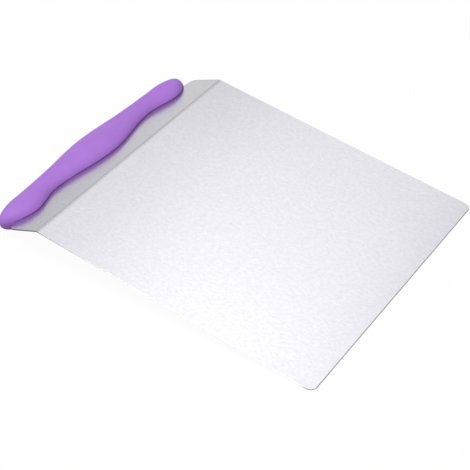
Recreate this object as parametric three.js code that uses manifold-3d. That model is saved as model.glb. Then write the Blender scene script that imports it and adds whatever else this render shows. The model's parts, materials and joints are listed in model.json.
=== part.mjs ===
// Cake lifter: a square steel blade, folded once along its rear edge, and a wavy two-shell handle
// screwed on the folded strip. It lies with the fold up, on its front edge and on its handle.
// Millimetres, +X along the fold, +Y towards the handle, +Z up, origin under the middle of its box.
import * as THREE from 'three';
import { mergeVertices } from 'three/addons/utils/BufferGeometryUtils.js';
import Module from 'manifold-3d';

const wasm = await Module();
wasm.setup();

// Blade: the flat panel in front of the fold
const bladeWidth = 255;
const bladeLength = 258;
const sheet = 0.8;
const frontCornerRadius = 6.5;

// Fold and flange: the strip behind the fold, and the tongue inside the handle
const foldAngle = THREE.MathUtils.degToRad(28.4);
const foldInnerRadius = 0.8;
const gripDepth = 46.5; // from the fold to the handle's axis, along the flange
const shoulderSetback = 14.5; // from the handle's axis forward to the flange's rear corners
const shoulderCornerRadius = 6;
const shoulderSlope = 5; // how much deeper the rear edge runs where the tongue begins
const tongueEndInset = 14; // from the handle's tip in to the tongue's side
const tonguePastAxis = 2;
const tongueCornerRadius = 4;

// Handle outline, seen along the flange's normal: its reach from the axis at the three stations
const handleEndInset = 4.2; // from the blade's side in to the handle's tip
const neckFromTip = 58.5;
const bulbFromTip = 26;
const frontReachMiddle = 23.6;
const frontReachNeck = 11.3;
const frontReachBulb = 20;
const rearReachMiddle = 24.2;
const rearReachNeck = 16.8;
const rearReachBulb = 12.8;
const tipRoundness = 1.65; // exponent of the end's curve in plan: 2 is an ellipse, less is slimmer

// Handle thickness, measured each way from the middle of the sheet
const halfThickMiddle = 11.8;
const halfThickNeck = 9.5;
const halfThickBulb = 10.4;
const tipThickRoundness = 2.3; // the same exponent, seen from the side
const wall = 2.4;
const ribThickness = 1.6;

// Fits
const clearance = 0.3;
const partingGap = 0.3;

// Screws and the bosses that take them
const innerScrewPlace = 30; // from the handle's middle
const screwSetback = 4; // from the handle's axis forward to the row of screws
const shankRadius = 1.45;
const headRadius = 2.8;
const headHeight = 2;
const headEdge = 1.1; // the head's straight rim, below its dome
const headRecess = 1.2; // from the shell's surface to the head
const pointLength = 2.4;
const driveLength = 3.6;
const driveWidth = 0.8;
const driveDepth = 1.1;
const bossWall = 2;
const bossRoof = 2.6; // left over the end of the pilot hole
const pointRoom = 0.6; // between the screw's point and the end of the pilot hole

// Facets
const ringFacets = 28;
const lengthFacets = 52;
const hollowRingFacets = 16;
const hollowLengthFacets = 32;
const roundFacets = 20;
const cornerFacets = 8;
const foldFacets = 6;
const weldDistance = 1e-5;

// Sizes worked out from those above
const halfWidth = bladeWidth / 2;
const handleHalf = halfWidth - handleEndInset;
const neckPlace = handleHalf - neckFromTip;
const bulbPlace = handleHalf - bulbFromTip;
const slimHalf = Math.min(halfThickMiddle, halfThickNeck, halfThickBulb);
const foldOuterRadius = foldInnerRadius + sheet;
const slotHalf = sheet / 2 + clearance;
const screwRow = gripDepth - screwSetback;
const screwSeat = slimHalf - headRecess - headHeight;
const pilotEnd = slimHalf - bossRoof;
const holeRadius = shankRadius + clearance;
const recessRadius = headRadius + clearance;
const beyond = 4 * slimHalf; // reaches past the handle on every side of a cut

// A closed geometry as a solid for joining and cutting
function solid(geometry) {
  const bare = geometry.index ? geometry.toNonIndexed() : geometry.clone();
  bare.deleteAttribute('normal');
  bare.deleteAttribute('uv');
  const merged = mergeVertices(bare, weldDistance);
  const kept = [];
  for (let i = 0; i < merged.index.count; i += 3) {
    const [a, b, c] = merged.index.array.slice(i, i + 3);
    if (a !== b && b !== c && c !== a) kept.push(a, b, c);
  }
  return new wasm.Manifold(new wasm.Mesh({
    numProp: 3,
    vertProperties: new Float32Array(merged.attributes.position.array),
    triVerts: new Uint32Array(kept),
  }));
}

// A solid as a flat-shaded geometry
function geometryOf(body) {
  const mesh = body.getMesh();
  const geometry = new THREE.BufferGeometry();
  geometry.setAttribute('position', new THREE.BufferAttribute(new Float32Array(mesh.vertProperties), 3));
  geometry.setIndex(new THREE.BufferAttribute(new Uint32Array(mesh.triVerts), 1));
  const flat = geometry.toNonIndexed();
  flat.computeVertexNormals();
  return flat;
}

function part(name, body, material) {
  const mesh = new THREE.Mesh(geometryOf(body), material);
  mesh.name = name;
  return mesh;
}

function box(xLow, xHigh, yLow, yHigh, zLow, zHigh) {
  const geometry = new THREE.BoxGeometry(xHigh - xLow, yHigh - yLow, zHigh - zLow);
  geometry.translate((xLow + xHigh) / 2, (yLow + yHigh) / 2, (zLow + zHigh) / 2);
  return solid(geometry);
}

// A round bar along Z at one screw's place
function post(radius, place, zLow, zHigh) {
  const geometry = new THREE.CylinderGeometry(radius, radius, zHigh - zLow, roundFacets);
  geometry.rotateX(Math.PI / 2);
  geometry.translate(place, screwRow, (zLow + zHigh) / 2);
  return solid(geometry);
}

// A plan outline whose corners, each given as x, y and radius, are rounded by arcs
function roundedOutline(corners) {
  const shape = new THREE.Shape();
  corners.forEach(([x, y, radius], i) => {
    const corner = new THREE.Vector2(x, y);
    const before = new THREE.Vector2(...corners.at(i - 1)).sub(corner).normalize();
    const after = new THREE.Vector2(...corners[(i + 1) % corners.length]).sub(corner).normalize();
    const half = Math.acos(THREE.MathUtils.clamp(before.dot(after), -1, 1)) / 2;
    const run = radius / Math.tan(half);
    const steps = radius > 0 ? cornerFacets : 0;
    const inward = before.clone().add(after).normalize();
    const centre = inward.multiplyScalar(radius / Math.sin(half)).add(corner);
    const start = before.clone().multiplyScalar(run).add(corner);
    const turn = Math.sign(after.cross(before)) * (Math.PI - 2 * half);
    for (let k = 0; k <= steps; k++) {
      const at = steps ? start.clone().rotateAround(centre, turn * k / steps) : corner;
      if (i + k === 0) shape.moveTo(at.x, at.y);
      else shape.lineTo(at.x, at.y);
    }
  });
  return shape;
}

// A plan outline made solid between two heights
function plate(shape, zLow, zHigh) {
  const geometry = new THREE.ExtrudeGeometry(shape, { depth: zHigh - zLow, bevelEnabled: false });
  geometry.translate(0, 0, zLow);
  return solid(geometry);
}

// Flange and tongue in plan, from ahead of the fold to the tongue's end, grown by a clearance
function flangeOutline(grow) {
  const side = halfWidth + grow;
  const shoulder = gripDepth - shoulderSetback + grow;
  const tongueSide = handleHalf - tongueEndInset + grow;
  const tongueEnd = gripDepth + tonguePastAxis + grow;
  return roundedOutline([
    [side, -gripDepth, 0],
    [side, shoulder, shoulderCornerRadius],
    [tongueSide, shoulder + shoulderSlope, 0],
    [tongueSide, tongueEnd, tongueCornerRadius],
    [-tongueSide, tongueEnd, tongueCornerRadius],
    [-tongueSide, shoulder + shoulderSlope, 0],
    [-side, shoulder, shoulderCornerRadius],
    [-side, -gripDepth, 0],
  ]);
}

// The folded sheet from the side, as Y and Z, swept across the blade and past its sides
function foldedStrip() {
  const run = foldOuterRadius * Math.tan(foldAngle / 2);
  const depth = gripDepth + tonguePastAxis + beyond;
  const apex = new THREE.Vector2();
  const centre = new THREE.Vector2(-run, -foldOuterRadius);
  const face = (height) => {
    const bendStart = new THREE.Vector2(-run, height);
    const points = [new THREE.Vector2(-bladeLength, height)];
    for (let k = 0; k <= foldFacets; k++) {
      points.push(bendStart.clone().rotateAround(centre, -foldAngle * k / foldFacets));
    }
    return [...points, new THREE.Vector2(depth, height).rotateAround(apex, -foldAngle)];
  };
  const shape = new THREE.Shape([...face(-sheet), ...face(0).reverse()]);
  const width = bladeWidth + 2 * beyond;
  const geometry = new THREE.ExtrudeGeometry(shape, { depth: width, bevelEnabled: false });
  geometry.translate(0, 0, -width / 2);
  geometry.applyMatrix4(new THREE.Matrix4().makeBasis(
    new THREE.Vector3(0, 1, 0), new THREE.Vector3(0, 0, 1), new THREE.Vector3(1, 0, 0)));
  return solid(geometry);
}

// Blade: the folded strip trimmed to its plan, with the screw holes in its tongue
function blade(handleMatrix) {
  const panel = plate(roundedOutline([
    [halfWidth, 0, 0],
    [-halfWidth, 0, 0],
    [-halfWidth, -bladeLength, frontCornerRadius],
    [halfWidth, -bladeLength, frontCornerRadius],
  ]), -beyond, beyond);
  const drills = screwPlaces.map((place) => post(holeRadius, place, -slotHalf, slotHalf));
  let flange = plate(flangeOutline(0), -beyond, beyond);
  drills.forEach((drill) => { flange = flange.subtract(drill); });
  const placed = solid(geometryOf(flange).applyMatrix4(handleMatrix));
  return foldedStrip().intersect(panel.add(placed));
}

// A value that eases from station to station by half cosine waves
function eased(distance, middle, neck, bulb) {
  const wave = (from, to, share) => from + (to - from) * (1 - Math.cos(Math.PI * share)) / 2;
  if (distance < neckPlace) return wave(middle, neck, distance / neckPlace);
  return wave(neck, bulb, Math.min(1, (distance - neckPlace) / (bulbPlace - neckPlace)));
}

// How far a ring is still open, from 1 where the round end begins to 0 at the tip
function closing(share, roundness) {
  return Math.pow(Math.max(0, 1 - share ** roundness), 1 / roundness);
}

// The handle's form, drawn in from its skin by a wall: elliptical rings that close at both tips
function handleForm(inset, alongCount, ringCount) {
  const tip = handleHalf - inset;
  const points = [];
  for (let i = 0; i <= alongCount; i++) {
    const x = -tip * Math.cos(Math.PI * i / alongCount);
    const distance = Math.abs(x);
    const share = Math.max(0, (distance - bulbPlace) / (tip - bulbPlace));
    const close = closing(share, tipRoundness);
    const front = (eased(distance, frontReachMiddle, frontReachNeck, frontReachBulb) - inset) * close;
    const rear = (eased(distance, rearReachMiddle, rearReachNeck, rearReachBulb) - inset) * close;
    const thick = (eased(distance, halfThickMiddle, halfThickNeck, halfThickBulb) - inset)
      * closing(share, tipThickRoundness);
    const centre = gripDepth + (rear - front) / 2;
    const reach = (rear + front) / 2;
    for (let j = 0; j < ringCount; j++) {
      const angle = 2 * Math.PI * j / ringCount;
      points.push(x, centre + reach * Math.cos(angle), thick * Math.sin(angle));
    }
  }
  const faces = [];
  for (let i = 0; i < alongCount; i++) {
    for (let j = 0; j < ringCount; j++) {
      const here = i * ringCount + j;
      const next = i * ringCount + (j + 1) % ringCount;
      faces.push(here, next, here + ringCount, next, next + ringCount, here + ringCount);
    }
  }
  const geometry = new THREE.BufferGeometry();
  geometry.setAttribute('position', new THREE.Float32BufferAttribute(points, 3));
  geometry.setIndex(faces);
  return solid(geometry);
}

// One side of the handle, above or below the parting plane
function halfSpace(side) {
  const reach = bladeWidth;
  return side > 0
    ? box(-reach, reach, -reach, reach, partingGap / 2, beyond)
    : box(-reach, reach, -reach, reach, -beyond, -partingGap / 2);
}

// Cross ribs that press on the tongue, at the middle and at each neck
function ribs() {
  return [-neckPlace, 0, neckPlace].map((place) => box(
    place - ribThickness / 2, place + ribThickness / 2, -beyond, gripDepth + beyond, -beyond, beyond));
}

// The shells share their skin, their hollow, their ribs and the slot that passes the sheet
function shell(side, bosses, holes) {
  const form = handleForm(0, lengthFacets, ringFacets);
  let body = form.subtract(handleForm(wall, hollowLengthFacets, hollowRingFacets));
  [...ribs(), ...bosses].forEach((inner) => { body = body.add(inner.intersect(form)); });
  body = body.intersect(halfSpace(side));
  return [plate(flangeOutline(clearance), -slotHalf, slotHalf), ...holes]
    .reduce((left, cut) => left.subtract(cut), body);
}

function upperShell() {
  const bosses = screwPlaces.map((place) => post(holeRadius + bossWall, place, slotHalf, beyond));
  const pilots = screwPlaces.map((place) => post(holeRadius, place, 0, pilotEnd));
  return shell(1, bosses, pilots);
}

function lowerShell() {
  const bosses = screwPlaces.map((place) => post(recessRadius + bossWall, place, -beyond, -slotHalf));
  const holes = screwPlaces.map((place) => post(holeRadius, place, -beyond, 0));
  const recesses = screwPlaces.map((place) => post(recessRadius, place, -beyond, -screwSeat));
  return shell(-1, bosses, [...holes, ...recesses]);
}

// A self-tapping screw with a domed head and a cross drive, its head down on the seat
function screw() {
  const seat = -screwSeat - clearance;
  const point = pilotEnd - pointRoom;
  const profile = new THREE.Path();
  profile.moveTo(0, seat - headHeight);
  profile.quadraticCurveTo(headRadius, seat - headHeight, headRadius, seat - headEdge);
  profile.lineTo(headRadius, seat);
  profile.lineTo(shankRadius, seat);
  profile.lineTo(shankRadius, point - pointLength);
  profile.lineTo(0, point);
  const turned = new THREE.LatheGeometry(profile.getPoints(cornerFacets / 2), roundFacets);
  turned.rotateX(Math.PI / 2);
  const low = seat - headHeight - driveDepth;
  const high = seat - headHeight + driveDepth;
  const along = box(-driveLength / 2, driveLength / 2, -driveWidth / 2, driveWidth / 2, low, high);
  const across = box(-driveWidth / 2, driveWidth / 2, -driveLength / 2, driveLength / 2, low, high);
  return solid(turned).subtract(along.add(across));
}

const screwPlaces = [-bulbPlace, -innerScrewPlace, innerScrewPlace, bulbPlace];

const steel = new THREE.MeshStandardMaterial({ color: 0xc3c2c7, roughness: 0.38, metalness: 1 });
const purple = new THREE.MeshStandardMaterial({ color: 0xab79d4, roughness: 0.55, metalness: 0 });
const zinc = new THREE.MeshStandardMaterial({ color: 0xb9bcc0, roughness: 0.35, metalness: 1 });

// The handle's own frame: X along the fold, Y along the flange, Z its normal, at mid-sheet
const handle = new THREE.Group();
handle.rotation.x = -foldAngle;
handle.position.set(0, -Math.sin(foldAngle), -Math.cos(foldAngle)).multiplyScalar(sheet / 2);
handle.updateMatrix();
handle.add(part('handle_upper_shell', upperShell(), purple));
handle.add(part('handle_lower_shell', lowerShell(), purple.clone()));
screwPlaces.forEach((place, i) => {
  const mesh = part(`screw_${i + 1}`, screw(), zinc.clone());
  mesh.position.set(place, screwRow, 0);
  handle.add(mesh);
});

const lifter = new THREE.Group();
lifter.add(part('blade', blade(handle.matrix), steel), handle);

// How far the blade tips back when its front edge and the handle touch the table
function restingTilt() {
  const shellPoints = handle.getObjectByName('handle_lower_shell').geometry.attributes.position;
  const point = new THREE.Vector3();
  let lowest = 0;
  for (let i = 0; i < shellPoints.count; i++) {
    point.fromBufferAttribute(shellPoints, i).applyMatrix4(handle.matrix);
    lowest = Math.min(lowest, Math.atan2(point.z + sheet, point.y + bladeLength));
  }
  return -lowest;
}

lifter.rotation.x = restingTilt();
lifter.updateMatrixWorld(true);
const bounds = new THREE.Box3().setFromObject(lifter, true);
const middle = bounds.getCenter(new THREE.Vector3());
lifter.position.set(-middle.x, -middle.y, -bounds.min.z);

const cakeLifter = new THREE.Group();
cakeLifter.add(lifter);

export default cakeLifter;
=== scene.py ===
"""A cake lifter lying fold up on a pale floor: a folded sheet-steel blade and a wavy purple handle.

Metres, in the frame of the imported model: X along the fold, Y from the blade's front edge towards the
handle, Z up.
"""

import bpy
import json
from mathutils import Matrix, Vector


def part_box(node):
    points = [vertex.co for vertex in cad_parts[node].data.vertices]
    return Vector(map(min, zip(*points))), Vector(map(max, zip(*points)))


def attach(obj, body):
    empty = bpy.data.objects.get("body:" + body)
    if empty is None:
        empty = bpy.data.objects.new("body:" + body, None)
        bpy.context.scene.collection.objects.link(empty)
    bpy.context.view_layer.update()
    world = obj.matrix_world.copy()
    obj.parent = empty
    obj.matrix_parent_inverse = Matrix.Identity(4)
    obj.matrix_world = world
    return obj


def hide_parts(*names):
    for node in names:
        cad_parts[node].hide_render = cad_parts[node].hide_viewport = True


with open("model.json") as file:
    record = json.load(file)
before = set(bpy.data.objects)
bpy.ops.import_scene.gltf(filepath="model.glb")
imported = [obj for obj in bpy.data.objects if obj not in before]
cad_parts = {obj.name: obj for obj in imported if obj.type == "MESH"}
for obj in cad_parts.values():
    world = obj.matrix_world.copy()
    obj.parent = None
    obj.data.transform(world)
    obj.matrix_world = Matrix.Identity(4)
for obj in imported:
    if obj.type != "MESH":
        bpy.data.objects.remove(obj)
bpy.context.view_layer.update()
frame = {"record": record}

import json
import math

import bmesh
import bpy
import numpy as np
from mathutils import Vector

# Blade sheet, with a narrow band of faces beside each rim that keeps the shading of the flat sheet flat
SHEET = 0.0008
BLADE_LENGTH = 0.258
BLADE_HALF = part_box("blade")[1].x
FRONT_CORNER = 0.0065
EDGE_ROUND = 0.00012
EDGE_BAND = 0.0004
# strip along the front edge that takes the rim's painted shade
FRONT_SHADE_STRIP = 0.0005

# Fold, flange and the tongue in the handle, measured from the fold's sharp corner
FOLD_ANGLE = math.radians(28.4)
FOLD_RADIUS = 0.0016
FOLD_RUN = FOLD_RADIUS * math.tan(FOLD_ANGLE / 2)
GRIP_DEPTH = 0.0465
SHOULDER = GRIP_DEPTH - 0.0145
SHOULDER_CORNER = 0.006
SHOULDER_SLOPE = 0.005
TONGUE_END = GRIP_DEPTH + 0.002
TONGUE_CORNER = 0.004

# Painted shade in a line along the fold: its share of the sheet's tone, and where it fades, along Y
FOLD_SHADE = 0.73
FOLD_SHADE_AHEAD = (-0.0032, -0.0006)
FOLD_SHADE_BEHIND = (0.0, 0.0012)

# Handle: its tip, neck and bulb along the fold, and its reach and thickness at middle, neck and bulb
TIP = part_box("handle_upper_shell")[1].x
NECK = TIP - 0.0585
BULB = TIP - 0.026
FRONT_REACH = (0.0236, 0.0113, 0.020)
REAR_REACH = (0.02418, 0.0168, 0.0128)
HALF_THICK = (0.0118, 0.0095, 0.0104)
TIP_ROUND = 1.65
TIP_THICK_ROUND = 2.3
TONGUE_HALF = TIP - 0.014

# Waves in the handle's rear outline: the place and height of each, and the width of both
REAR_SWELL = (0.095, 0.0011)
REAR_NOTCH = (0.070, 0.0013)
REAR_WAVE = 0.009

# Handle shells: wall, ribs, parting seam, and the slot in which the sheet lies
WALL = 0.0024
RIB_THICK = 0.0016
RIB_GAP = 0.00006
SEAM = 0.00005
SEAM_ROUND = 0.0003
SHEET_GAP = 0.00004
SLOT_HALF = SHEET / 2 + SHEET_GAP
SLOT_ROUND = 0.0005
SLOT_EASE = 0.0015

# Where the oval closes at the tips: the most of its half thickness that a rim takes, the most of its half
# depth that the rim's rounding takes, and the least thickness to divide by
TIP_RIM = 0.9
TIP_ROUNDING = 0.3
TINY = 1e-9

# Screws and their seats, measured from the middle of the sheet
INNER_SCREW = 0.030
SCREW_PLACES = (-BULB, -INNER_SCREW, INNER_SCREW, BULB)
SCREW_ROW = GRIP_DEPTH - 0.004
SCREW_SEAT = 0.0063
SCREW_POINT = 0.0063
PILOT_END = 0.0069
HOLE_RADIUS = 0.00175
RECESS_RADIUS = 0.0031
BOSS_WALL = 0.002

# Screw head with its pressed cross, and shank with its thread
HEAD_RADIUS = 0.0028
HEAD_HEIGHT = 0.002
HEAD_DOME = 0.0009
HEAD_CHAMFER = 0.0001
HEAD_GAP = 0.00002
CROSS_ARM = 0.0019
CROSS_HALF = 0.00042
CROSS_DEPTH = 0.0011
CROSS_EASE = 0.00025
SHANK_RADIUS = 0.00145
THREAD_PITCH = 0.0012
THREAD_RIDGE = 0.00025
THREAD_SHARE = 0.625
THREAD_START = 0.001
THREAD_STOP = 0.0024
POINT_LENGTH = 0.0022

# Fineness of the meshes, and the distance under which points are merged
SHEET_ROWS = 26
SHEET_COLUMNS = 27
SHELL_STEPS = 160
INNER_POINTS = 41
RIB_POINTS = 49
POST_TURNS = 48
SCREW_TURNS = 96
HEAD_RINGS = 40
SHANK_RINGS = 180
WELD = 2e-7

# Camera, fitted to the blade's edges in the photograph
CAMERA_TARGET = Vector((-0.030281, -0.027887, 0.01752))
CAMERA_AZIMUTH = math.radians(-56.064)
CAMERA_ELEVATION = math.radians(40.580)
CAMERA_DISTANCE = 1.0921
CAMERA_LENS = 104.628

# The blade's tilt and the middle of its fold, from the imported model
MOUNTS = {mount["name"]: mount for mount in frame["record"]["mounts"]}
FACE = MOUNTS["blade_upper_face"]["axis"]
TILT = math.atan2(-FACE[1], FACE[2])
FOLD_PLACE = np.array([
    0.0,
    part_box("blade")[0].y + BLADE_LENGTH * math.cos(TILT),
    SHEET * math.cos(TILT) + BLADE_LENGTH * math.sin(TILT),
])


def turned(points, angle):
    """Points turned about X: Y and Z mix by the angle's cosine and sine."""
    x, y, z = np.moveaxis(points, -1, 0)
    cosine, sine = math.cos(angle), math.sin(angle)
    return np.stack([x, y * cosine - z * sine, y * sine + z * cosine], -1)


def from_blade(points):
    """From the blade's frame, with the fold at its origin and the panel level, to the model's."""
    return turned(points, TILT) + FOLD_PLACE


def from_handle(points):
    """From the handle's frame, Y along the flange and Z its normal from mid-sheet, to the model's."""
    mid_sheet = -SHEET / 2 * np.array([0.0, math.sin(FOLD_ANGLE), math.cos(FOLD_ANGLE)])
    return from_blade(turned(points, -FOLD_ANGLE) + mid_sheet)


def quarter(steps):
    """Angles of a quarter turn, from 0 to 90 degrees."""
    return np.linspace(0.0, math.pi / 2, steps)


def smooth_step(share):
    """From 0 to 1 with level ends: the share squared, times three less twice the share."""
    share = np.clip(share, 0, 1)
    return share ** 2 * (3 - 2 * share)


def piece_from_mesh(name, mesh):
    """A new object at the origin that holds a mesh."""
    piece = bpy.data.objects.new(name, mesh)
    bpy.context.scene.collection.objects.link(piece)
    return piece


def weld(mesh, outwards):
    """Merges points that all but coincide, and can turn a closed skin's faces outwards."""
    skin = bmesh.new()
    skin.from_mesh(mesh)
    bmesh.ops.remove_doubles(skin, verts=skin.verts, dist=WELD)
    if outwards:
        bmesh.ops.recalc_face_normals(skin, faces=skin.faces)
    skin.to_mesh(mesh)
    skin.free()


def loft(name, loops, edge_faces=None):
    """A closed skin: each loop of a grid joins the next by quads, and the end loops are filled. The quads
    that are marked as edge faces take the second material, and so do the ends then."""
    rows, columns = loops.shape[:2]
    first = np.arange(rows - 1)[:, None] * columns
    here = np.arange(columns)[None, :]
    after = (here + 1) % columns
    quads = np.stack([first + here, first + after, first + columns + after, first + columns + here], -1)
    last = (rows - 1) * columns
    ends = [list(range(columns))[::-1], list(range(last, last + columns))]
    mesh = bpy.data.meshes.new(name)
    mesh.from_pydata(loops.reshape(-1, 3).tolist(), [], quads.reshape(-1, 4).tolist() + ends)
    if edge_faces is not None:
        marks = np.concatenate([edge_faces.reshape(-1), [1, 1]]).astype(np.int32)
        mesh.polygons.foreach_set("material_index", marks)
    weld(mesh, outwards=True)
    return piece_from_mesh(name, mesh)


def joined(name, pieces):
    """Several separate skins as one mesh."""
    whole = bmesh.new()
    for piece in pieces:
        whole.from_mesh(piece.data)
        bpy.data.objects.remove(piece)
    mesh = bpy.data.meshes.new(name)
    whole.to_mesh(mesh)
    whole.free()
    return piece_from_mesh(name, mesh)


def combine(piece, other, operation):
    """Joins another skin to a piece, or cuts it out, and keeps the result as the piece's mesh."""
    step = piece.modifiers.new("combine", "BOOLEAN")
    step.operation = operation
    step.solver = "EXACT"
    step.object = other
    result = piece.evaluated_get(bpy.context.evaluated_depsgraph_get())
    mesh = bpy.data.meshes.new_from_object(result)
    weld(mesh, outwards=False)
    piece.modifiers.clear()
    piece.data = mesh
    bpy.data.objects.remove(other)


def finish_piece(piece, node, materials, sharp):
    """Smooth shading, with edges steeper than an angle kept sharp, then the piece's place and finish."""
    mesh = piece.data
    mesh.polygons.foreach_set("use_smooth", np.ones(len(mesh.polygons), dtype=bool))
    mesh.set_sharp_from_angle(angle=math.radians(sharp))
    for material in materials:
        mesh.materials.append(material)
    mesh.update()
    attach(piece, "root")
    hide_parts(node)


def post(name, place, profile):
    """A turned solid at one screw's place: radius and height pairs carried round the screw's axis."""
    radius, height = np.array(profile).T
    angle = 2 * math.pi * np.arange(POST_TURNS) / POST_TURNS
    x = place + radius[:, None] * np.cos(angle)
    y = SCREW_ROW + radius[:, None] * np.sin(angle)
    z = np.broadcast_to(height[:, None], x.shape)
    return loft(name, from_handle(np.stack([x, y, z], -1)))


def plug(name, place, radius, low, high):
    """A round plug at one screw's place, from one height to another."""
    return post(name, place, [(0, low), (radius, low), (radius, high), (0, high)])


def panel_rows():
    """The flat panel's rows, from the front edge to the fold: Y, Z, lean, half width and half thickness.
    The half width follows the front corner's arc, and the half thickness the edge's rounding: the root
    of the radius squared less the distance into it squared."""
    distance = np.concatenate([
        np.unique(np.concatenate([
            EDGE_ROUND * (1 - np.sin(quarter(5))),
            FRONT_CORNER * (1 - np.cos(quarter(15))),
        ])),
        np.linspace(FRONT_CORNER + EDGE_BAND, BLADE_LENGTH - FOLD_RUN - EDGE_BAND, SHEET_ROWS),
        [BLADE_LENGTH - FOLD_RUN],
    ])
    into_corner = np.clip(FRONT_CORNER - distance, 0, None)
    into_edge = np.clip(EDGE_ROUND - distance, 0, None)
    return np.stack([
        distance - BLADE_LENGTH,
        np.full_like(distance, -SHEET / 2),
        np.zeros_like(distance),
        BLADE_HALF - FRONT_CORNER + np.sqrt(FRONT_CORNER ** 2 - into_corner ** 2),
        SHEET / 2 - EDGE_ROUND + np.sqrt(EDGE_ROUND ** 2 - into_edge ** 2),
    ])


def fold_rows():
    """The fold's rows, in the same order: the middle of the sheet follows an arc about a line under it."""
    lean = np.linspace(0.0, FOLD_ANGLE, 7)[1:-1]
    radius = FOLD_RADIUS - SHEET / 2
    return np.stack([
        radius * np.sin(lean) - FOLD_RUN,
        radius * np.cos(lean) - FOLD_RADIUS,
        lean,
        np.full_like(lean, BLADE_HALF),
        np.full_like(lean, SHEET / 2),
    ])


def flange_rows():
    """The flange's rows, in the same order, straight on from the fold. The half width is the blade's, then
    turns the shoulder on an arc, slopes in to the tongue and turns the tongue's corners on quarter arcs."""
    slope = math.atan2(SHOULDER_SLOPE, BLADE_HALF - TONGUE_HALF)
    arc = np.linspace(0.0, math.pi / 2 - slope, 13)
    arc_start = SHOULDER - SHOULDER_CORNER / math.tan((math.pi / 2 + slope) / 2)
    corner_start = TONGUE_END - TONGUE_CORNER
    fold_clear, arc_clear, corner_clear = 0.006, 0.003, 0.001
    straight = np.concatenate([
        [FOLD_RUN, FOLD_RUN + EDGE_BAND],
        np.linspace(fold_clear, arc_start - arc_clear, 5),
    ])
    depth = np.concatenate([
        straight,
        arc_start + SHOULDER_CORNER * np.sin(arc),
        [SHOULDER + SHOULDER_SLOPE, corner_start - corner_clear],
        corner_start + TONGUE_CORNER * np.sin(quarter(9)),
    ])
    half = np.concatenate([
        np.full_like(straight, BLADE_HALF),
        BLADE_HALF - SHOULDER_CORNER * (1 - np.cos(arc)),
        [TONGUE_HALF, TONGUE_HALF],
        TONGUE_HALF - TONGUE_CORNER * (1 - np.cos(quarter(9))),
    ])
    cosine, sine = math.cos(FOLD_ANGLE), math.sin(FOLD_ANGLE)
    return np.stack([
        depth * cosine - SHEET / 2 * sine,
        -depth * sine - SHEET / 2 * cosine,
        np.full_like(depth, FOLD_ANGLE),
        half,
        np.full_like(depth, SHEET / 2),
    ])


def blade_sheet():
    """The folded and drilled sheet: rounded rectangles across it, carried from the front edge over the
    fold to the tongue's end. Each is a row over the top, a rounded rim, a row underneath and the other
    rim, and its height turns with the lean. The rims, a strip along the front edge and a band along the
    flange's sides take the rim's finish, with its painted shade and painted highlight."""
    panel, fold, flange = panel_rows(), fold_rows(), flange_rows()
    path_y, path_z, lean, half, thick = np.concatenate([panel, fold, flange], 1)[:, :, None]

    row = np.concatenate([[-1.0], np.linspace(-1, 1, SHEET_COLUMNS), [1.0]])
    band = np.concatenate([[0.0], np.full(SHEET_COLUMNS, EDGE_BAND), [0.0]])
    top_x = row * (half - EDGE_ROUND - band)
    top_z = np.broadcast_to(thick, top_x.shape)
    rim = np.concatenate([quarter(4)[1:], math.pi - quarter(4)[:0:-1]])
    over = np.repeat([1, -1], len(rim) // 2)
    rim_x = half - EDGE_ROUND + EDGE_ROUND * np.sin(rim)
    rim_z = over * (thick - EDGE_ROUND) + EDGE_ROUND * np.cos(rim)
    across = np.concatenate([top_x, rim_x, top_x[:, ::-1], -rim_x[:, ::-1]], 1)
    height = np.concatenate([top_z, rim_z, -top_z, rim_z[:, ::-1]], 1)
    y = path_y + height * np.sin(lean)
    z = path_z + height * np.cos(lean)

    rows, columns = across.shape
    on_rim = np.zeros(columns, dtype=bool)
    on_rim[len(row) - 1:len(row) + len(rim)] = True
    on_rim[-len(rim) - 1:] = True
    # faces that take the rim's finish, with its painted shade and painted highlight
    painted_edge_faces = np.broadcast_to(on_rim, (rows - 1, columns)).copy()
    # painted shade: a strip of the top along the front edge darkened like the rim
    painted_edge_faces[:np.searchsorted(panel[0], FRONT_SHADE_STRIP - BLADE_LENGTH)] = True
    flange_start = panel.shape[1] + fold.shape[1]
    # painted shade: the band along the flange's sides darkened like the rim
    painted_edge_faces[flange_start:, [0, len(row) - 2]] = True

    sheet = loft("blade_sheet", from_blade(np.stack([across, y, z], -1)), painted_edge_faces)
    drills = [plug("drill", place, HOLE_RADIUS, -SHEET, SHEET) for place in SCREW_PLACES]
    combine(sheet, joined("drills", drills), "DIFFERENCE")
    return sheet


def eased(distance, middle, neck, bulb):
    """A value that goes from middle to neck to bulb by two half cosine waves."""
    wave = [(1 - np.cos(math.pi * np.clip(share, 0, 1))) / 2
            for share in (distance / NECK, (distance - NECK) / (BULB - NECK))]
    return middle + (neck - middle) * wave[0] + (bulb - neck) * wave[1]


def handle_oval(x, inset=0.0):
    """Centre, half depth and half thickness of the handle's oval at each place along it. The reach
    forward, the reach back and the thickness ease between the stations, and the reach back has a bell
    curve more behind each bulb and one less behind each neck. Past the bulb they close to the tip by a
    superellipse: one less the share's power, to the inverse power."""
    distance = np.abs(x)
    share = np.clip((distance - BULB) / (TIP - inset - BULB), 0, 1)
    plan = (1 - share ** TIP_ROUND) ** (1 / TIP_ROUND)
    side = (1 - share ** TIP_THICK_ROUND) ** (1 / TIP_THICK_ROUND)
    front = (eased(distance, *FRONT_REACH) - inset) * plan
    swell, notch = (height * np.exp(-((distance - place) / REAR_WAVE) ** 2)
                    for place, height in (REAR_SWELL, REAR_NOTCH))
    rear = (eased(distance, *REAR_REACH) + swell - notch - inset) * plan
    thick = (eased(distance, *HALF_THICK) - inset) * side
    return GRIP_DEPTH + (rear - front) / 2, (rear + front) / 2, thick


def skin_height(x, y):
    """Height of the handle's skin over the middle of the sheet: the oval solved for its height."""
    centre, depth, thick = handle_oval(x)
    return thick * np.sqrt(np.clip(1 - ((y - centre) / depth) ** 2, 0, 1))


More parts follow.
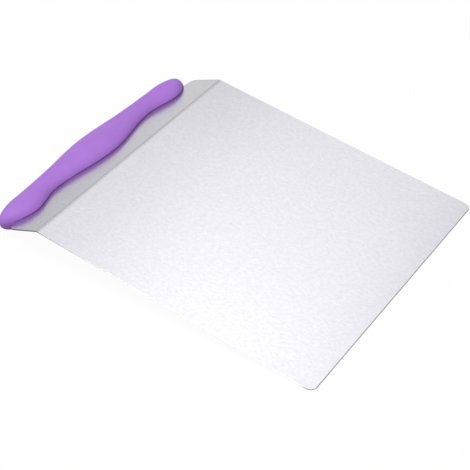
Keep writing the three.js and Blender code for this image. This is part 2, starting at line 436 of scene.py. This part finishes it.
def sheet_cover(x):
    """1 where the flange passes the handle's front rim and 0 beside it, by a smooth step of the distance
    from that rim to the sheet's sloped rear edge."""
    centre, depth, _ = handle_oval(x)
    slope = SHOULDER_SLOPE / (BLADE_HALF - TONGUE_HALF)
    sheet_end = SHOULDER + slope * (BLADE_HALF - np.abs(x))
    return smooth_step((sheet_end - (centre - depth)) / SLOT_EASE + 0.5)


def shell_skin(name, side):
    """One half shell: at each place along the handle a closed loop, over the outer half oval from the
    front rim to the rear rim and back under the inner half oval. The front rim lies on the sheet where
    the flange passes it, and both outer rims are rounded by a quarter circle."""
    x = -TIP * np.cos(math.pi * np.arange(SHELL_STEPS + 1) / SHELL_STEPS)
    centre, depth, thick = (value[:, None] for value in handle_oval(x))
    inner_centre, inner_depth, inner_thick = (value[:, None] for value in handle_oval(x, WALL))
    covered = sheet_cover(x)[:, None]
    front_rim = np.minimum(SEAM + (SLOT_HALF - SEAM) * covered, TIP_RIM * thick)
    rear_rim = np.minimum(SEAM, TIP_RIM * thick)

    # outer half oval, with its steps close together at the rims
    steps = np.concatenate([[0, 0.0015, 0.0035, 0.006, 0.009, 0.013, 0.02], np.linspace(0.03, 0.5, 28)])
    steps = np.concatenate([steps, 1 - steps[::-1][1:]])
    start = math.pi - np.arcsin(front_rim / np.maximum(thick, TINY))
    stop = np.arcsin(rear_rim / np.maximum(thick, TINY))
    angle = start + (stop - start) * steps
    outer_y = centre + depth * np.cos(angle)
    outer_z = thick * np.sin(angle)
    ahead = outer_y < centre
    rounding = np.where(ahead, SEAM_ROUND + (SLOT_ROUND - SEAM_ROUND) * covered, SEAM_ROUND)
    lift = np.clip(outer_z - np.where(ahead, front_rim, rear_rim), 0, rounding)
    drawn_in = rounding - np.sqrt(rounding ** 2 - (rounding - lift) ** 2)
    drawn_in = np.minimum(drawn_in, TIP_ROUNDING * depth)
    outer_y = outer_y + np.where(ahead, drawn_in, -drawn_in)

    # inner half oval, from the rear rim back to the front one
    start = np.arcsin(np.clip(rear_rim / np.maximum(inner_thick, TINY), 0, 1))
    stop = math.pi - np.arcsin(np.clip(front_rim / np.maximum(inner_thick, TINY), 0, 1))
    angle = start + (stop - start) * np.linspace(0, 1, INNER_POINTS)
    inner_y = inner_centre + inner_depth * np.cos(angle)
    inner_z = np.maximum(inner_thick * np.sin(angle), rear_rim)

    y = np.concatenate([outer_y, inner_y], 1)
    z = np.concatenate([outer_z, inner_z], 1) * side
    places = np.broadcast_to(x[:, None], y.shape)
    return loft(name, from_handle(np.stack([places, y, z], -1)))


def boss_end(place, radius):
    """How high a boss may reach: the lowest skin over its ring, less a little of the wall."""
    angle = np.linspace(0, 2 * math.pi, 65)
    ring = skin_height(place + radius * np.cos(angle), SCREW_ROW + radius * np.sin(angle))
    return float(ring.min()) - WALL / 4


def cross_ribs(side):
    """Ribs that press on the tongue, at the middle and at each neck: half an oval drawn in by half the
    wall and cut level just over the sheet, carried through the rib's thickness."""
    ribs = []
    for place in (-NECK, 0.0, NECK):
        x = place + RIB_THICK / 2 * np.array([[-1.0], [1.0]])
        centre, depth, thick = handle_oval(x, WALL / 2)
        start = np.arcsin((SHEET / 2 + RIB_GAP) / thick)
        angle = start + (math.pi - 2 * start) * np.linspace(0, 1, RIB_POINTS)
        y = centre + depth * np.cos(angle)
        z = side * thick * np.sin(angle)
        ribs.append(loft("rib", from_handle(np.stack([np.broadcast_to(x, y.shape), y, z], -1))))
    return ribs


def upper_shell():
    """The upper half shell with its ribs and a blind boss for each screw."""
    shell = shell_skin("upper_shell", 1)
    radius = HOLE_RADIUS + BOSS_WALL
    bosses = [plug("boss", place, radius, SLOT_HALF, boss_end(place, radius)) for place in SCREW_PLACES]
    pilots = [plug("pilot", place, HOLE_RADIUS, -SLOT_HALF, PILOT_END) for place in SCREW_PLACES]
    combine(shell, joined("bosses", bosses + cross_ribs(1)), "UNION")
    combine(shell, joined("pilots", pilots), "DIFFERENCE")
    return shell


def lower_shell():
    """The lower half shell with its ribs and a recessed seat for each screw."""
    shell = shell_skin("lower_shell", -1)
    radius = RECESS_RADIUS + BOSS_WALL
    outside = 1.5 * HALF_THICK[0]
    recess = [
        (0, -outside),
        (RECESS_RADIUS, -outside),
        (RECESS_RADIUS, -SCREW_SEAT),
        (HOLE_RADIUS, -SCREW_SEAT),
        (HOLE_RADIUS, SLOT_HALF),
        (0, SLOT_HALF),
    ]
    bosses = [plug("boss", place, radius, -boss_end(place, radius), -SLOT_HALF) for place in SCREW_PLACES]
    seats = [post("seat", place, recess) for place in SCREW_PLACES]
    combine(shell, joined("bosses", bosses + cross_ribs(-1)), "UNION")
    combine(shell, joined("seats", seats), "DIFFERENCE")
    return shell


def screw(name, place):
    """A self-tapping screw: one profile carried round its axis. The head is a dome into which a cross is
    pressed, its depth a smooth step of the distance from the nearer arm. The shank's radius adds a
    ridge that climbs one pitch in each turn and fades at both ends, and its point is a cone."""
    angle = 2 * math.pi * np.arange(SCREW_TURNS) / SCREW_TURNS
    all_round = np.ones(SCREW_TURNS)
    seat = -SCREW_SEAT - HEAD_GAP

    # head: the dome with its cross, then the rim and its chamfer
    top_r = HEAD_RADIUS * np.sin(quarter(HEAD_RINGS))[:, None] * all_round
    sink = 1 - np.sqrt(np.clip(1 - (top_r / HEAD_RADIUS) ** 2, 0, 1))
    x, y = np.abs(top_r * np.cos(angle)), np.abs(top_r * np.sin(angle))
    from_arms = np.minimum(
        np.maximum(x - CROSS_ARM, y - CROSS_HALF),
        np.maximum(y - CROSS_ARM, x - CROSS_HALF),
    )
    pressed = smooth_step(0.5 - from_arms / CROSS_EASE)
    top_z = seat - HEAD_HEIGHT + HEAD_DOME * sink + CROSS_DEPTH * pressed
    rim_middle = (HEAD_HEIGHT - HEAD_DOME + HEAD_CHAMFER) / 2
    rim_r = HEAD_RADIUS - np.array([0.0, 0.0, HEAD_CHAMFER])
    rim_z = seat - np.array([rim_middle, HEAD_CHAMFER, 0.0])

    # shank: the core closes to a point, and the thread's ridge is a clipped triangle wave
    shank_z = np.linspace(seat, SCREW_POINT, SHANK_RINGS)
    to_point = SCREW_POINT - shank_z
    turn = shank_z[:, None] / THREAD_PITCH - angle / (2 * math.pi)
    slack = np.abs(2 * (turn - np.floor(turn)) - 1)
    ridge = THREAD_RIDGE * np.clip(1 - slack / THREAD_SHARE, 0, 1)
    fade = np.clip((shank_z - seat) / THREAD_START, 0, 1) * np.clip(to_point / THREAD_STOP, 0, 1)
    core = (SHANK_RADIUS - THREAD_RIDGE) * np.clip(to_point / POINT_LENGTH, 0, 1)
    shank_r = core[:, None] + ridge * fade[:, None]

    radius = np.concatenate([top_r, rim_r[:, None] * all_round, shank_r])
    height = np.concatenate([top_z, rim_z[:, None] * all_round, shank_z[:, None] * all_round])
    x = place + radius * np.cos(angle)
    y = SCREW_ROW + radius * np.sin(angle)
    return loft(name, from_handle(np.stack([x, y, height], -1)))


class NodeTree:
    """Short calls that add nodes to a tree."""

    def __init__(self, tree):
        self.tree = tree

    def put(self, socket, value):
        """Links a socket to another node's output, or sets it to a plain value."""
        if isinstance(value, bpy.types.NodeSocket):
            self.tree.links.new(value, socket)
        else:
            socket.default_value = value

    def node(self, kind, inputs, **settings):
        """A new node with its inputs put in and its settings set."""
        made = self.tree.nodes.new(kind)
        for key, value in settings.items():
            setattr(made, key, value)
        for key, value in inputs.items():
            self.put(made.inputs[key], value)
        return made

    def light_path(self):
        """What kind of ray meets the surface, as the outputs of one node."""
        return self.node("ShaderNodeLightPath", {}).outputs

    def span(self, value, low, high, start=0.0, stop=1.0):
        """From low to high as a value goes from start to stop."""
        made = self.node("ShaderNodeMapRange", {
            "Value": value,
            "From Min": start,
            "From Max": stop,
            "To Min": low,
            "To Max": high,
        })
        return made.outputs["Result"]

    def math(self, operation, first, second, clamp=False):
        """Two numbers put together by an operation."""
        made = self.node("ShaderNodeMath", {0: first, 1: second}, operation=operation, use_clamp=clamp)
        return made.outputs[0]

    def mix(self, share, first, second):
        """A share of the second shader over the first."""
        return self.node("ShaderNodeMixShader", {"Fac": share, 1: first, 2: second}).outputs[0]


class Finish(NodeTree):
    """A new material, with short calls for the nodes of its finish."""

    def __init__(self, name):
        self.material = bpy.data.materials.new(name)
        self.material.use_nodes = True
        super().__init__(self.material.node_tree)
        self.shader = self.tree.nodes["Principled BSDF"]

    def place(self, stretch=(1.0, 1.0, 1.0)):
        """The place in the model, with each axis scaled: a small scale draws a pattern out along it."""
        coords = self.node("ShaderNodeTexCoord", {}).outputs["Object"]
        return self.node("ShaderNodeMapping", {"Vector": coords, "Scale": stretch}).outputs[0]

    def along(self):
        """The place along Y."""
        return self.node("ShaderNodeSeparateXYZ", {"Vector": self.place()}).outputs["Y"]

    def noise(self, place, scale, detail, roughness=0.5):
        """A cloudy pattern, most of it between 0.3 and 0.7."""
        made = self.node("ShaderNodeTexNoise", {
            "Vector": place,
            "Scale": scale,
            "Detail": detail,
            "Roughness": roughness,
        })
        return made.outputs["Fac"]

    def spread(self, noise, low, high):
        """From low to high over most of a noise."""
        return self.span(noise, low, high, 0.3, 0.7)

    def colours(self, value, stops):
        """A run of colours: pairs of position and colour."""
        made = self.node("ShaderNodeValToRGB", {"Fac": value})
        ramp = made.color_ramp
        while len(ramp.elements) < len(stops):
            ramp.elements.new(0.5)
        for element, (position, colour) in zip(ramp.elements, stops):
            element.position = position
            element.color = (*colour, 1.0)
        return made.outputs["Color"]

    def bump(self, height, strength, distance):
        """A surface normal that a height pattern tilts."""
        made = self.node("ShaderNodeBump", {"Height": height, "Strength": strength, "Distance": distance})
        return made.outputs["Normal"]

    def set(self, **values):
        """Puts values into the shader's sockets, with spaces for underscores, and gives the material."""
        for key, value in values.items():
            self.put(self.shader.inputs[key.replace("_", " ")], value)
        return self.material


def blade_steel():
    """Satin stainless sheet: a short streaky grain, hairlines brushed from front to back, and painted shade
    that darkens it in a line along the fold."""
    steel = Finish("blade_steel")
    grain = steel.noise(steel.place((1.0, 0.6, 0.6)), scale=520.0, detail=1.0)
    hairline = steel.noise(steel.place((1.0, 0.02, 1.0)), scale=2600.0, detail=2.0)
    streak = steel.noise(steel.place((1.0, 0.015, 0.015)), scale=170.0, detail=3.0, roughness=0.6)
    tint = steel.math("ADD", steel.math("MULTIPLY", grain, 0.92), steel.math("MULTIPLY", streak, 0.08))
    colour = steel.colours(tint, [(0.3, (0.529, 0.524, 0.561)), (0.7, (0.573, 0.568, 0.606))])
    # painted shade: the steel's colour darkened in a line along the fold, where the bend lies in shade
    from_fold = steel.math("SUBTRACT", steel.along(), float(FOLD_PLACE[1]))
    behind = steel.span(from_fold, FOLD_SHADE, 1.0, *FOLD_SHADE_BEHIND)
    ahead = steel.span(from_fold, 1.0, FOLD_SHADE, *FOLD_SHADE_AHEAD)
    tone = steel.math("MAXIMUM", behind, ahead)
    fold_shaded = steel.node("ShaderNodeVectorMath", {0: colour, "Scale": tone}, operation="SCALE").outputs[0]
    return steel.set(
        Metallic=1.0,
        Base_Color=fold_shaded,
        Roughness=steel.spread(hairline, 0.16, 0.25),
        Normal=steel.bump(hairline, strength=0.2, distance=0.00001),
    )


def sheet_edge_shade_and_highlight():
    """The sheet's rim: rough steel, dark as a sheared edge, with painted shade darkening it along the front
    and beside the fold and a painted highlight lightening it along the panel.
    """
    edge = Finish("sheet_edge_shade_and_highlight")
    low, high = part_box("blade")
    fold = (float(FOLD_PLACE[1]) - low.y) / (high.y - low.y)
    # painted tones along the rim: dark at the front and beside the fold as painted shade, pale along the
    # panel as a painted highlight
    painted_tones = [(0.0, 0.27), (0.018, 0.25), (0.04, 0.85), (0.55, 0.85), (fold - 0.03, 0.30), (fold, 0.12)]
    share = edge.span(edge.along(), 0.0, 1.0, low.y, high.y)
    marks = edge.noise(edge.place(), scale=2500.0, detail=2.0)
    return edge.set(
        Metallic=1.0,
        Base_Color=edge.colours(share, [(at, (tone, tone, tone * 1.03)) for at, tone in painted_tones]),
        Roughness=edge.spread(marks, 0.35, 0.50),
        Normal=edge.bump(marks, strength=0.3, distance=0.00001),
    )


def handle_plastic():
    """Matte purple moulding: a fine spark texture and a slight drift of its colour."""
    plastic = Finish("handle_plastic")
    drift = plastic.noise(plastic.place(), scale=60.0, detail=3.0)
    texture = plastic.noise(plastic.place(), scale=3200.0, detail=2.0, roughness=0.6)
    return plastic.set(
        Base_Color=plastic.colours(drift, [(0.3, (0.40, 0.183, 0.65)), (0.7, (0.425, 0.201, 0.68))]),
        Roughness=plastic.spread(texture, 0.50, 0.62),
        Specular_IOR_Level=0.12,
        Normal=plastic.bump(texture, strength=0.22, distance=0.00004),
    )


def screw_steel():
    """Zinc-plated screws: bluish grey with soft blotches."""
    zinc = Finish("screw_steel")
    blotch = zinc.noise(zinc.place(), scale=1400.0, detail=3.0)
    return zinc.set(
        Metallic=1.0,
        Base_Color=zinc.colours(blotch, [(0.3, (0.50, 0.51, 0.53)), (0.7, (0.60, 0.61, 0.63))]),
        Roughness=zinc.spread(blotch, 0.28, 0.40),
        Normal=zinc.bump(blotch, strength=0.15, distance=0.00002),
    )


def seen_white(nodes):
    """One for a ray from the camera, or one that metal reflects or glass passes to it, else nought.
    A ray that has left a matte surface gets nought, so the white adds no light to the object."""
    path = nodes.light_path()
    seen = nodes.math("MAXIMUM", path["Is Camera Ray"], path["Is Glossy Ray"])
    seen = nodes.math("MAXIMUM", seen, path["Is Transmission Ray"])
    return nodes.math("SUBTRACT", seen, path["Diffuse Depth"], clamp=True)


def floor_white():
    """Nearly white where it is seen, keeps the soft shadow, returns little light, and is clear to lamps and
    from below."""
    white = Finish("floor_white")
    white.tree.nodes.remove(white.shader)
    bounce, glow_share = 0.25, 0.96
    seen = seen_white(white)
    matte = white.node("ShaderNodeBsdfDiffuse", {"Color": white.span(seen, bounce, 1.0)}).outputs[0]
    glow = white.node("ShaderNodeEmission", {"Color": (1.0, 1.0, 1.0, 1.0), "Strength": 1.0}).outputs[0]
    pale = white.mix(white.math("MULTIPLY", seen, glow_share), matte, glow)
    from_below = white.node("ShaderNodeNewGeometry", {}).outputs["Backfacing"]
    passes = white.math("MAXIMUM", from_below, white.light_path()["Is Shadow Ray"])
    clear = white.node("ShaderNodeBsdfTransparent", {}).outputs[0]
    white.put(white.tree.nodes["Material Output"].inputs["Surface"], white.mix(passes, pale, clear))
    return white.material


def pale_floor():
    """A wide level floor."""
    reach = np.array([-6.0, 6.0])
    x, y = np.meshgrid(reach, reach)
    mesh = bpy.data.meshes.new("floor")
    mesh.from_pydata(np.stack([x, y, np.zeros_like(x)], -1).reshape(-1, 3).tolist(), [], [(0, 1, 3, 2)])
    mesh.materials.append(floor_white())
    piece_from_mesh("floor", mesh)


def white_surround():
    """A surround that is white to the camera and in the steel, where it is a little darker straight behind
    the object. Matte surfaces get a soft fill from it instead, stronger from above."""
    world = bpy.data.worlds.new("studio")
    bpy.context.scene.world = world
    world.use_nodes = True
    around = NodeTree(world.node_tree)
    direction = around.node("ShaderNodeTexCoord", {}).outputs["Generated"]
    axes = around.node("ShaderNodeSeparateXYZ", {"Vector": direction}).outputs
    fill = around.span(axes["Z"], low=0.03, high=0.21)
    behind = around.span(axes["Y"], low=1.0, high=0.80, start=0.76, stop=0.86)
    shown = around.math("MAXIMUM", around.light_path()["Is Camera Ray"], behind)
    background = world.node_tree.nodes["Background"].inputs
    around.put(background["Color"], (1.0, 1.0, 1.0, 1.0))
    around.put(background["Strength"], around.span(seen_white(around), fill, shown))


def soft_box(name, place, size, power, aim=None):
    """A rectangular lamp at a place, turned to face a point, or level."""
    lamp = bpy.data.lights.new(name, "AREA")
    lamp.shape = "RECTANGLE"
    lamp.size, lamp.size_y = size
    lamp.energy = power
    box = bpy.data.objects.new(name, lamp)
    box.location = place
    facing = Vector(place) - Vector(aim or (*place[:2], 0.0))
    box.rotation_euler = facing.to_track_quat("Z", "Y").to_euler()
    bpy.context.scene.collection.objects.link(box)


def studio_lamps():
    """A wide box overhead, two level boxes that gleam in the steel, a key, a low box on the left, a small
    one on the right, and one under the floor for the underside."""
    middle = (0.0, 0.1, 0.0)
    right_tip = (0.11, 0.13, 0.02)
    soft_box("ceiling_box", place=(0.23, 0.48, 1.5), size=(2.6, 2.1), power=4.4)
    soft_box("gleam_strip", place=(1.06, 0.398, 1.47), size=(2.05, 0.575), power=1.44)
    soft_box("gleam_front", place=(0.54, 0.10, 1.44), size=(1.2, 0.87), power=0.87)
    soft_box("key_box", place=(-0.50, 0.30, 1.40), size=(0.7, 0.7), power=14.6, aim=middle)
    soft_box("side_box", place=(-1.30, 0.10, 0.80), size=(0.7, 0.7), power=4.0, aim=middle)
    soft_box("right_box", place=(1.10, 0.30, 0.35), size=(0.5, 0.5), power=1.0, aim=right_tip)
    soft_box("under_box", place=(0.0, 0.3, -1.3), size=(1.6, 1.6), power=16.0, aim=middle)


def photo_camera():
    """The photograph's view: 56.1 degrees to the left of the front and 40.6 degrees up."""
    back = Vector((
        math.sin(CAMERA_AZIMUTH) * math.cos(CAMERA_ELEVATION),
        -math.cos(CAMERA_AZIMUTH) * math.cos(CAMERA_ELEVATION),
        math.sin(CAMERA_ELEVATION),
    ))
    data = bpy.data.cameras.new("camera")
    data.lens = CAMERA_LENS
    data.sensor_width = 36.0
    data.clip_start = 0.01
    data.clip_end = 50.0
    camera = bpy.data.objects.new("camera", data)
    camera.location = CAMERA_TARGET + back * CAMERA_DISTANCE
    camera.rotation_euler = back.to_track_quat("Z", "Y").to_euler()
    bpy.context.scene.collection.objects.link(camera)
    bpy.context.scene.camera = camera


bpy.context.scene.view_settings.view_transform = "Standard"
photo_camera()
white_surround()
studio_lamps()
pale_floor()

plastic = handle_plastic()
zinc = screw_steel()
finish_piece(blade_sheet(), "blade", [blade_steel(), sheet_edge_shade_and_highlight()], sharp=50)
finish_piece(upper_shell(), "handle_upper_shell", [plastic], sharp=40)
finish_piece(lower_shell(), "handle_lower_shell", [plastic], sharp=40)
for number, place in enumerate(SCREW_PLACES, 1):
    finish_piece(screw(f"cross_screw_{number}", place), f"screw_{number}", [zinc], sharp=40)
